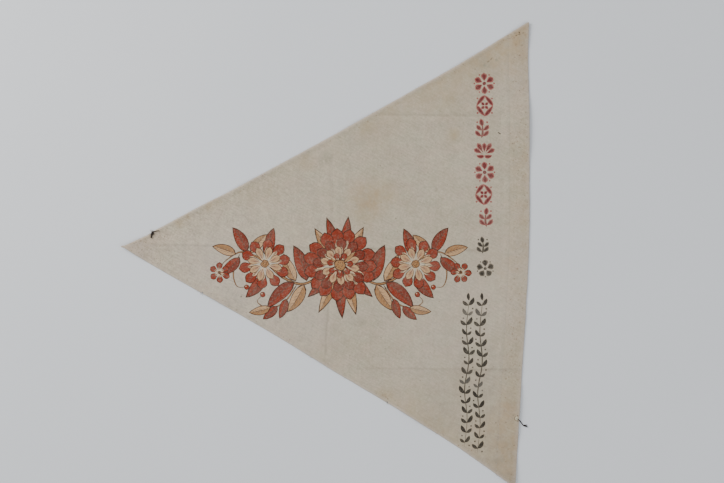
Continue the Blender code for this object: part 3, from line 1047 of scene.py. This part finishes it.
def cloth_mesh():
    """The pennant as one closed sheet: top, underside, the slit of the sleeve, and the rim."""
    points, faces, strokes = cloth_plan()
    slit = {number for number, face in enumerate(faces) if in_sleeve(face, points)}
    slit_points = {corner for number in slit for corner in faces[number]}
    solid_points = {corner for number, face in enumerate(faces) if number not in slit for corner in face}
    closed = slit_points & solid_points
    slit = {number for number in slit if not closed.issuperset(faces[number])}
    shape = bmesh.new()
    pigments = shape.loops.layers.float_color.new("pigment")
    # Age and painted light at each point: browning, mould, dirt with painted shade, and paleness with a
    # painted highlight and painted light.
    age_and_light_layer = shape.verts.layers.float_color.new("age_and_painted_light")
    vertices = {}
    heights = {}

    def levels(corner):
        """The heights of one point of the plan: top, ceiling, middle, floor and underside."""
        if corner not in heights:
            point = points[corner]
            under = lift(point)
            thick = thickness(point)
            heights[corner] = {"top": under + thick, "ceiling": under + (thick + SLEEVE_GAP) / 2,
                               "shut": under + thick / 2, "floor": under + (thick - SLEEVE_GAP) / 2,
                               "under": under + rim_raise(point), "age_and_painted_light": age_and_painted_light(point)}
        return heights[corner]

    def vertex(corner, level):
        """The vertex of a plan point at one level, with the slit shut along its two sides."""
        if corner in closed and level in ("ceiling", "floor"):
            level = "shut"
        if (corner, level) not in vertices:
            made = shape.verts.new((points[corner].x, points[corner].y, levels(corner)[level]))
            made[age_and_light_layer] = levels(corner)["age_and_painted_light"]
            vertices[corner, level] = made
        return vertices[corner, level]

    def add_face(corners, stroke=-1, strength=1):
        """A face with the pigment of a stroke, or with none."""
        _, pigment, covered = STROKES[stroke] if stroke >= 0 else (None, COTTON, 0)
        for loop in shape.faces.new(corners).loops:
            loop[pigments] = (*pigment, covered * strength)

    def cover(face, level, upwards, stroke=-1, strength=1):
        corners = [vertex(corner, level) for corner in face]
        add_face(corners if upwards else corners[::-1], stroke, strength)

    def drop(corner, upper, lower):
        """One corner of the rim, downwards. Where the slit is shut, it has a point between its levels."""
        shut = corner in closed and (upper, lower) == ("top", "under")
        return [vertex(corner, level) for level in ((upper, "shut", lower) if shut else (upper, lower))]

    def wall(first, second, upper, lower):
        add_face(drop(first, upper, lower) + drop(second, upper, lower)[::-1])

    for number, face in enumerate(faces):
        cover(face, "top", True, strokes[number])
        cover(face, "under", False, strokes[number], SHOW_THROUGH)
        if number in slit:
            cover(face, "ceiling", False)
            cover(face, "floor", True)
    sides = {}
    for number, face in enumerate(faces):
        for first, second in zip(face, face[1:] + face[:1]):
            sides[first, second] = number in slit
    single = (("top", "under"),)
    double = (("top", "ceiling"), ("floor", "under"))
    for (first, second), over_slit in sides.items():
        if (second, first) not in sides:
            for upper, lower in double if over_slit else single:
                wall(first, second, upper, lower)
    bmesh.ops.triangulate(shape, faces=[face for face in shape.faces if len(face.verts) > 3])
    bmesh.ops.recalc_face_normals(shape, faces=shape.faces)
    bmesh.ops.translate(shape, verts=shape.verts, vec=-MIDDLE)
    mesh = bpy.data.meshes.new("pennant_cloth")
    shape.to_mesh(mesh)
    shape.free()
    return mesh


class Finish:
    """A material under construction, with short words for the nodes that its surface is made of."""

    def __init__(self, name, roughness, sheen=0.0):
        self.material = bpy.data.materials.new(name)
        self.material.use_nodes = True
        self.tree = self.material.node_tree
        self.shader = self.tree.nodes["Principled BSDF"]
        self.fill(self.shader, {"Roughness": roughness, "Sheen Weight": sheen, "Specular IOR Level": SHINE})

    def fill(self, node, sockets):
        """Puts values, colours or other nodes' outputs into sockets."""
        for name, value in sockets.items():
            socket = node.inputs[name]
            if isinstance(value, bpy.types.NodeSocket):
                self.tree.links.new(value, socket)
            else:
                socket.default_value = (*value, 1) if socket.type == "RGBA" else value

    def add(self, kind, sockets, **settings):
        """A new node's outputs."""
        node = self.tree.nodes.new(kind)
        for name, value in settings.items():
            setattr(node, name, value)
        self.fill(node, sockets)
        return node.outputs

    def maths(self, operation, first, second=0.0, clamp=False):
        return self.add("ShaderNodeMath", {0: first, 1: second}, operation=operation, use_clamp=clamp)[0]

    def plus(self, first, second):
        return self.maths("ADD", first, second)

    def times(self, first, second, clamp=False):
        return self.maths("MULTIPLY", first, second, clamp)

    def spread(self, value, low, high, to_low=0.0, to_high=1.0):
        """A value between low and high, brought between two others and kept there."""
        sockets = dict(enumerate((value, low, high, to_low, to_high)))
        return self.add("ShaderNodeMapRange", sockets, clamp=True)[0]

    def blend(self, first, second, share, kind="MIX"):
        sockets = {"Factor": share, "A": first, "B": second}
        return self.add("ShaderNodeMix", sockets, data_type="RGBA", blend_type=kind)["Result"]

    def scaled(self, colour, value):
        """A colour made lighter or darker."""
        return self.add("ShaderNodeVectorMath", {0: colour, "Scale": value}, operation="SCALE")[0]

    def place(self):
        return self.add("ShaderNodeTexCoord", {})["Object"]

    def turned(self, vector, turn, cell):
        """A place measured along and across a direction, in cells of this length and width."""
        sockets = {"Vector": vector, "Rotation": (0, 0, turn), "Scale": (*cell, 1)}
        return self.add("ShaderNodeMapping", sockets, vector_type="TEXTURE")[0]

    def noise(self, vector, scale=1.0, detail=2.0, roughness=0.5):
        sockets = {"Vector": vector, "Scale": scale, "Detail": detail, "Roughness": roughness}
        return self.add("ShaderNodeTexNoise", sockets)["Fac"]

    def attribute(self, name):
        return self.add("ShaderNodeAttribute", {}, attribute_name=name)

    def split(self, vector):
        return self.add("ShaderNodeSeparateXYZ", {0: vector})

    def bump(self, height, distance, strength=1.0):
        sockets = {"Height": height, "Distance": distance, "Strength": strength}
        self.fill(self.shader, {"Normal": self.add("ShaderNodeBump", sockets)[0]})

    def colour(self, value):
        self.fill(self.shader, {"Base Color": value})


def weave(cloth, place):
    """The height of a plain weave: threads over and under each other, a little uneven."""
    lies = cloth.split(cloth.turned(place, THREAD_TURN, (THREAD_PITCH, THREAD_PITCH)))
    stray = cloth.times(cloth.noise(place, 160, 1), 2.4)
    waves = [cloth.maths("SINE", cloth.times(cloth.plus(lies[axis], stray), math.pi)) for axis in (0, 1)]
    gaps = cloth.plus(*[cloth.maths("ABSOLUTE", wave) for wave in waves])
    return cloth.plus(cloth.times(cloth.times(*waves), 0.5), cloth.times(gaps, 0.5))


def flecks(cloth, place, scale, size, share):
    """Small specks: the middles of some cells of a given number to the metre."""
    cells = cloth.add("ShaderNodeTexVoronoi", {"Vector": place, "Scale": scale}, feature="F1")
    near = cloth.spread(cells["Distance"], size * 0.6, size, 1.0, 0.0)
    picked = cloth.spread(cloth.split(cells["Color"])[0], 1 - share, 1 - share + 0.1)
    return cloth.times(near, picked)


def lit_cotton(cloth, place, threads, slubs, cross_slubs):
    """Unbleached cotton, lighter and darker by its unevenness and its small specks, and by its threads:
    painted shade in the weave's gaps and painted light on the thread tops.
    """
    # Painted shade and light of the weave: darker in the gaps between threads, lighter on their tops.
    light = cloth.spread(threads, 0.0, 1.2, -0.05, 0.03)
    shades = (
        (slubs, 0.125),
        (cross_slubs, 0.065),
        (cloth.noise(cloth.turned(place, math.pi / 2, (0.07, 0.003))), 0.025),
        (cloth.noise(place, 46, 3, 0.6), 0.06),
        (cloth.noise(place, 330, 3, 0.65), 0.125),
    )
    for value, much in shades:
        light = cloth.plus(light, cloth.spread(value, 0.25, 0.75, -much, much))
    across = cloth.split(place)[0]
    for ends in UNEVEN_ACROSS:
        light = cloth.times(light, cloth.spread(across, *ends))
    light = cloth.plus(light, cloth.spread(cloth.noise(place, 11, 3, 0.55), 0.25, 0.75, -0.055, 0.055))
    along_threads = cloth.turned(place, THREAD_TURN, (3.2, 1.0))
    speckles = (
        (place, 85, 0.085, 0.32, 0.46),
        (place, 160, 0.13, 0.2, 0.32),
        (along_threads, 190, 0.17, 0.16, 0.15),
        (place, 131, 0.15, 0.16, -0.16),
    )
    for where, cells, size, share, much in speckles:
        light = cloth.maths("SUBTRACT", light, cloth.times(flecks(cloth, where, cells, size, share), much))
    cast = cloth.spread(cloth.noise(cloth.turned(place, 0.4, (0.034, 0.021)), 1, 3, 0.6), 0.36, 0.64)
    colour = cloth.scaled(COTTON, cloth.plus(light, 1.0))
    return cloth.blend(colour, cloth.blend(PINK_CAST, GREEN_CAST, cast), 1.0, "MULTIPLY")


def aged_cotton():
    """Unbleached plain weave with slubs, stains and creases, and the pigments painted on it; with painted
    shade along the folds, between the threads and towards the lower end of the hoist, and painted
    highlights along the rim and on the open cloth.
    """
    cloth = Finish("aged_cotton", 0.95, 0.02)
    place = cloth.place()
    slubs = cloth.noise(cloth.turned(place, THREAD_TURN, (0.013, 0.0021)), 1, 3, 0.6)
    cross_slubs = cloth.noise(cloth.turned(place, THREAD_TURN + math.pi / 2, (0.01, 0.0022)), 1, 3, 0.6)
    threads = weave(cloth, place)
    colour = lit_cotton(cloth, place, threads, slubs, cross_slubs)
    age_and_light = cloth.attribute("age_and_painted_light")
    age = cloth.split(age_and_light["Color"])
    # Each layer of age and painted light: its colour, where it lies, and the noise that breaks it up. The
    # third holds grime with painted shade along the folds and towards the lower end of the hoist; the last
    # holds paler cloth with a painted highlight along the rim and painted light.
    layers = (
        (AGED, age[0], (75, 4, 0.65), (0.34, 0.66, 0.52, 1.34)),
        (MOULD, age[1], (190, 3, 0.6), (0.35, 0.65, 0.3, 1.2)),
        (CREASE_SHADE_AND_DIRT, age[2], (95, 3, 0.6), (0.32, 0.68, 0.45, 1.45)),
        (AGED, 1.0, (19, 3, 0.6), (0.4, 0.7, 0.0, 0.13)),
        (PALE_CLOTH_AND_HIGHLIGHT, age_and_light["Alpha"], (260, 3, 0.6), (0.3, 0.7, 0.35, 0.85)),
    )
    for dye, share, grain, ends in layers:
        broken = cloth.spread(cloth.noise(place, *grain), *ends)
        colour = cloth.blend(colour, dye, cloth.times(share, broken, True))
    pigment = cloth.attribute("pigment")
    strokes = cloth.noise(cloth.turned(place, 0.6, (0.006, 0.0009)), 1, 3, 0.6)
    worn = cloth.spread(cloth.noise(place, 420, 2, 0.6), 0.3, 0.52, 0.84, 1.0)
    faded = cloth.spread(cloth.noise(place, 30, 3, 0.6), 0.3, 0.55, 0.9, 1.0)
    covered = cloth.times(cloth.times(pigment["Alpha"], worn), faded)
    painted = cloth.scaled(pigment["Color"], cloth.spread(strokes, 0.3, 0.7, 0.72, 1.34))
    cloth.colour(cloth.blend(colour, painted, covered))
    relief = cloth.plus(cloth.times(threads, 0.6), cloth.times(slubs, 1.2))
    cloth.bump(cloth.plus(relief, cloth.times(cross_slubs, 0.8)), WEAVE_RELIEF, 0.8)
    return cloth.material


def pale_thread(name, colour):
    """Cotton thread with the ridges of its twist."""
    thread = Finish(name, 0.85, 0.1)
    place = thread.place()
    thread.colour(thread.scaled(colour, thread.spread(thread.noise(place, 900), 0.3, 0.7, 0.82, 1.08)))
    thread.bump(thread.noise(thread.turned(place, 0.8, (0.001, 0.0003)), 1, 1), TWIST_RELIEF, 0.6)
    return thread.material


def dark_thread():
    """Old dark thread, nearly black, dusty on its ridges."""
    thread = Finish("dark_thread", 0.88, 0.05)
    place = thread.place()
    dust = thread.spread(thread.noise(place, 1100, 3, 0.6), 0.45, 0.75, 0.0, 0.5)
    thread.colour(thread.blend(OLD_BLACK, OLD_DUST, dust))
    thread.bump(thread.noise(thread.turned(place, 1.2, (0.0012, 0.0003)), 1, 1), TWIST_RELIEF, 0.7)
    return thread.material


def pale_paper():
    """The pale matt surface that the pennant lies on."""
    paper = Finish("pale_paper", 0.9)
    cloudy = paper.spread(paper.noise(paper.place(), 1.6, 3, 0.6), 0.3, 0.7, 0.985, 1.015)
    paper.colour(paper.scaled(FLOOR_GREY, cloudy))
    return paper.material


def finish_piece(piece, material):
    """Gives a piece its material, and makes it ride with the pennant."""
    piece.data.materials.clear()
    piece.data.materials.append(material)
    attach(piece, "root")


def into_scene(name, data):
    """A new object with this data."""
    made = bpy.data.objects.new(name, data)
    bpy.context.scene.collection.objects.link(made)
    return made


def pennant():
    """The painted cloth, in place of the solid."""
    paint_cloth()
    cloth = into_scene("pennant_cloth", cloth_mesh())
    cloth.data.shade_smooth()
    finish_piece(cloth, aged_cotton())
    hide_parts("flag_cloth")
    return cloth


def select_only(*pieces):
    """Selects these pieces alone, or none, so that an operator acts on nothing else."""
    bpy.ops.object.select_all(action="DESELECT")
    for piece in pieces:
        piece.select_set(True)
        bpy.context.view_layer.objects.active = pieces[0]


def join(pieces, name):
    """Several pieces made one, with the object at the origin."""
    select_only(*pieces)
    bpy.ops.object.join()
    joined = bpy.context.object
    joined.name = name
    joined.data.name = name
    bpy.ops.object.transform_apply(location=True, rotation=True, scale=True)
    return joined


def one_stitch():
    """A single stitch: a bead of thread, drawn down at both ends."""
    select_only()
    bpy.ops.mesh.primitive_uv_sphere_add(segments=8, ring_count=6, radius=0.5, rotation=(0, math.pi / 2, 0))
    bpy.ops.object.transform_apply(rotation=True)
    stitch = bpy.context.object
    stitch.scale = (STITCH_LENGTH, STITCH_WIDTH, STITCH_WIDTH * STITCH_FLATNESS)
    bpy.ops.object.transform_apply(scale=True)
    bpy.ops.object.shade_smooth()
    return stitch


# The lines of stitches: edge, how far in, and first and last share.
STITCH_LINES = ((UPPER, HEM_STITCHES, 0.02, 0.985), (LOWER, HEM_STITCHES, 0.015, 0.98),
                (HOIST, SLEEVE_WIDTH, 0.03, 0.97))


def stitch_line(pattern, edge, depth, first, last, draw):
    """Copies of a stitch along a line inside an edge."""
    made = []
    pitches = int((last - first) * edge.length / STITCH_PITCH)
    for number in range(pitches):
        if draw.random() < MISSING_STITCHES:
            continue
        share = first + (number + draw.uniform(-STITCH_SHIFT, STITCH_SHIFT)) * STITCH_PITCH / edge.length
        point = edge.at(share, depth + draw.uniform(-STITCH_STRAY, STITCH_STRAY))
        ahead = edge.at(share + 0.002, depth)
        stitch = into_scene("stitch", pattern.data.copy())
        stitch.location = Vector((point.x, point.y, top_of(point) + STITCH_WIDTH * STITCH_SINK)) - MIDDLE
        heading = ahead - point
        turn = draw.uniform(-STITCH_TURN, STITCH_TURN)
        stitch.rotation_euler = (0, 0, math.atan2(heading.y, heading.x) + turn)
        made.append(stitch)
    return made


def stitching(thread):
    """The hand stitching of both hems and of the sleeve."""
    draw = random.Random(5)
    pattern = one_stitch()
    stitches = []
    for edge, depth, first, last in STITCH_LINES:
        stitches += stitch_line(pattern, edge, depth, first, last, draw)
    bpy.data.objects.remove(pattern)
    finish_piece(join(stitches, "hem_and_sleeve_stitching"), thread)


# How finely the loose threads bend, where fibres start and end, and how the tail lies.
FRAY_STEPS = 7
PLY_STEPS = 24
KNOT_STEPS = 16
FRAY_INSIDE = 0.0006
FRAY_LOWEST = 0.0003
TAIL_RISE = 0.0004
TUFT_STRANDS = 9


def at_height(point, height):
    """A plan point, raised to a height."""
    return Vector((point.x, point.y, height))


def ground(point):
    """The height of what lies under a thread: the cloth, or the surface beside it."""
    return top_of(point) if edge_depth(point) > 0 else 0.0


def threads_piece(name, lines, radius, material):
    """Loose threads as one piece, from lines of points in the plan with heights."""
    data = bpy.data.curves.new(name, "CURVE")
    data.dimensions = "3D"
    data.bevel_depth = radius
    data.bevel_resolution = 1
    data.use_fill_caps = True
    for line in lines:
        run = data.splines.new("POLY")
        run.points.add(len(line) - 1)
        for target, point in zip(run.points, line):
            target.co = (*(point - MIDDLE), 1)
    select_only(into_scene(name, data))
    bpy.ops.object.convert(target="MESH")
    bpy.ops.object.shade_smooth()
    finish_piece(bpy.context.object, material)


def fray(edge, share, length, draw):
    """One loose fibre that leaves the edge and lies down in a bend."""
    start = edge.at(share, FRAY_INSIDE)
    heading = -edge.inwards + edge.along * draw.uniform(-0.8, 0.8)
    heading.normalize()
    bend = draw.uniform(-1.6, 1.6)
    height = top_of(start) * 0.6
    line = []
    for step in range(FRAY_STEPS + 1):
        way = step / FRAY_STEPS
        turned = Matrix.Rotation(bend * way, 2) @ heading
        point = start + turned * length * way
        line.append(at_height(point, max(height * (1 - way) ** 1.5, FRAY_LOWEST)))
    return line


# Where fibres stand out: edge, first and last share, shortest and longest, and how many.
FRAYED = (
    (UPPER, 0.066, 0.072, 0.002, 0.006, 9), (LOWER, 0.33, 0.336, 0.0015, 0.004, 5),
    (LOWER, 0.797, 0.803, 0.0015, 0.004, 5), (UPPER, 0.02, 0.98, 0.001, 0.0032, 16),
    (LOWER, 0.02, 0.98, 0.001, 0.0032, 18), (HOIST, 0.02, 0.98, 0.001, 0.0032, 10),
)


def frayed_threads(thread):
    """Fibres that stand out at the tears and here and there along the edges."""
    draw = random.Random(41)
    lines = []
    for edge, first, last, shortest, longest, count in FRAYED:
        for _ in range(count):
            lines.append(fray(edge, draw.uniform(first, last), draw.uniform(shortest, longest), draw))
    threads_piece("frayed_threads", lines, FIBRE, thread)


def ply_twist(start, end, plies, spread, turns):
    """Plies wound round each other from one plan point to another, lying on the cloth."""
    across = sideways((end - start).normalized())
    lines = []
    for ply in range(plies):
        line = []
        for step, middle in enumerate(straight(start, end, PLY_STEPS)):
            way = step / PLY_STEPS
            swirl = 2 * math.pi * (turns * way + ply / plies)
            middle += across * math.cos(swirl) * spread * (1.2 - 0.5 * way)
            line.append(at_height(middle, ground(middle) + STUB_THREAD + spread * (1.1 + math.sin(swirl))))
        lines.append(line)
    return lines


def small_knot(middle, radius):
    """Three slanting loops round one plan point."""
    lines = []
    for turn in (0.0, 0.9, 1.9):
        line = []
        for step in range(KNOT_STEPS + 1):
            angle = 2 * math.pi * step / KNOT_STEPS
            place = middle + Vector((math.cos(angle), 0.8 * math.sin(angle + turn))) * radius
            line.append(at_height(place, top_of(middle) + 0.001 + 0.0005 * math.sin(angle * 2 + turn)))
        lines.append(line)
    return lines


def tear_stub(thread):
    """A knotted stub of dark two-ply thread, drawn through the tear beside the point."""
    mouth = UPPER.at(0.0738, 0.0004)
    foot = UPPER.at(0.0626, 0.0062)
    lines = ply_twist(mouth, foot, 2, 0.0007, 2.2)
    lines += small_knot(mouth.lerp(foot, 0.34), 0.0016)
    lines += ply_twist(mouth, UPPER.at(0.085, 0.0034), 1, 0.0003, 1.5)
    lines += ply_twist(mouth, UPPER.at(0.0688, -0.0006), 1, 0.0003, 1.0)
    threads_piece("dark_thread_stub", lines, STUB_THREAD, thread)


def hoist_loop(thread):
    """A small worn loop of thread that is sewn to the hoist, its pale colour a painted highlight."""
    lines = []
    for radius, rise in ((0.0024, 0.0003), (0.0019, 0.0005)):
        line = []
        for step in range(21):
            angle = math.radians(-70 + 17 * step)
            point = Vector(RING) + Vector((0.62 * math.cos(angle), math.sin(angle))) * radius
            line.append(at_height(point, top_of(point) + rise))
        lines.append(line)
    threads_piece("hoist_thread_loop", lines, TAIL_THREAD, thread)


# Where the dark thread runs, from the loop across the hoist's edge.
TAIL_ROUTE = ((0.2862, -0.246), (0.288, -0.2475), (0.2904, -0.2494), (0.2932, -0.2532), (0.2954, -0.2562),
              (0.2988, -0.258))


def hoist_tail(thread):
    """A thin dark thread that leaves the loop, crosses the edge and ends in a tuft beside the hoist."""
    line = [at_height(point, ground(point) + TAIL_RISE) for point in curve_through(TAIL_ROUTE, 4)]
    for number in range(1, len(line) - 1):
        line[number].z = (line[number - 1].z + line[number].z * 2 + line[number + 1].z) / 4
    lines = [line, [point + Vector((0.0005, 0.0003, 0)) for point in line]]
    draw = random.Random(7)
    for strand in range(TUFT_STRANDS):
        start = line[-6 + strand % 3]
        run = bent_line((start.x, start.y + draw.uniform(-0.0004, 0.0006)), draw.uniform(-0.42, 0.05),
                        draw.uniform(0.0052, 0.007), draw.uniform(0.0, 0.3), 5)
        lines.append([at_height(point, 0.0005 + 0.0003 * (strand % 3)) for point in run])
    threads_piece("hoist_thread_tail", lines, TAIL_THREAD, thread)


FLOOR_SIZE = 14
FLOOR_GAP = 0.0002


def add_floor():
    """The plain surface, just under the cloth."""
    select_only()
    bpy.ops.mesh.primitive_plane_add(size=FLOOR_SIZE, location=(0, 0, -FLOOR_GAP))
    floor = bpy.context.object
    floor.name = "floor"
    floor.data.materials.append(pale_paper())


# The area lights: place, size, power and colour. The sky fills the shadows.
LIGHTS = {
    "key_light": ((-1.8, 1.2, 1.4), 1.4, 62, (1.0, 0.985, 0.965)),
    "fill_light": ((1.6, -0.9, 2.2), 2.0, 22, (0.97, 0.985, 1.0)),
}
SKY = (0.96, 0.98, 1.0)
SKY_STRENGTH = 0.62


def add_lights():
    """Square area lights that face the pennant, under a pale sky."""
    for name, (place, size, power, colour) in LIGHTS.items():
        bpy.ops.object.light_add(type="AREA", location=place)
        light = bpy.context.object
        light.name = name
        light.data.size = size
        light.data.energy = power
        light.data.color = colour
        light.rotation_euler = Vector(place).to_track_quat("Z", "Y").to_euler()
    world = bpy.data.worlds.new("studio")
    world.use_nodes = True
    sky = world.node_tree.nodes["Background"].inputs
    sky["Color"].default_value = (*SKY, 1)
    sky["Strength"].default_value = SKY_STRENGTH
    bpy.context.scene.world = world


add_camera()
cloth = pennant()
cotton_thread = pale_thread("sewing_thread", SEWING_COTTON)
old_thread = dark_thread()
stitching(cotton_thread)
frayed_threads(cotton_thread)
tear_stub(old_thread)
hoist_loop(pale_thread("loop_thread_painted_highlight", LOOP_HIGHLIGHT))
hoist_tail(old_thread)
add_floor()
add_lights()
